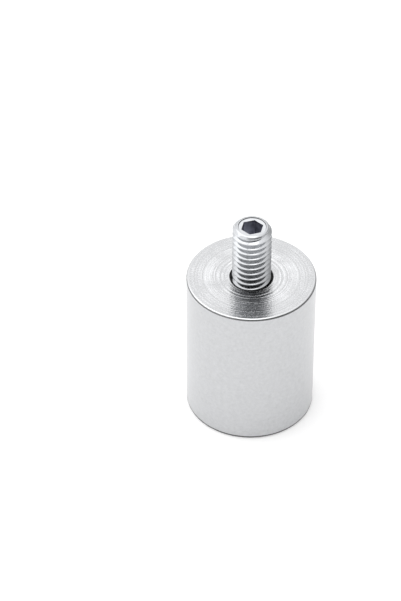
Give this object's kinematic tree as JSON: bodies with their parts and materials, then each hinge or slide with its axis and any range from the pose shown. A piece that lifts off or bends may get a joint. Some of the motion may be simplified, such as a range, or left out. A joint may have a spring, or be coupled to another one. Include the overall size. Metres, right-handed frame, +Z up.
{
  "type": "pot magnet with threaded stud",
  "caption": "Round zinc-plated pot magnet standing on its contact face, with a threaded stud and hexagon socket on top.",
  "frame": {"origin": "centre of the contact face, on the floor that the magnet stands on", "axes": "+Z up along the magnet's axis, towards the stud's free end"},
  "size_m": [0.02, 0.02, 0.035],
  "materials": {
    "zinc_plated_steel": "satin",
    "stud_steel": "polished",
    "nickel_plated_magnet": "polished",
    "brass_ring": "satin"
  },
  "bodies": {
    "root": {"pot_body": "zinc_plated_steel", "magnet_disc": "nickel_plated_magnet", "spacer_ring": "brass_ring", "threaded_stud": "stud_steel"}
  },
  "joints": []
}
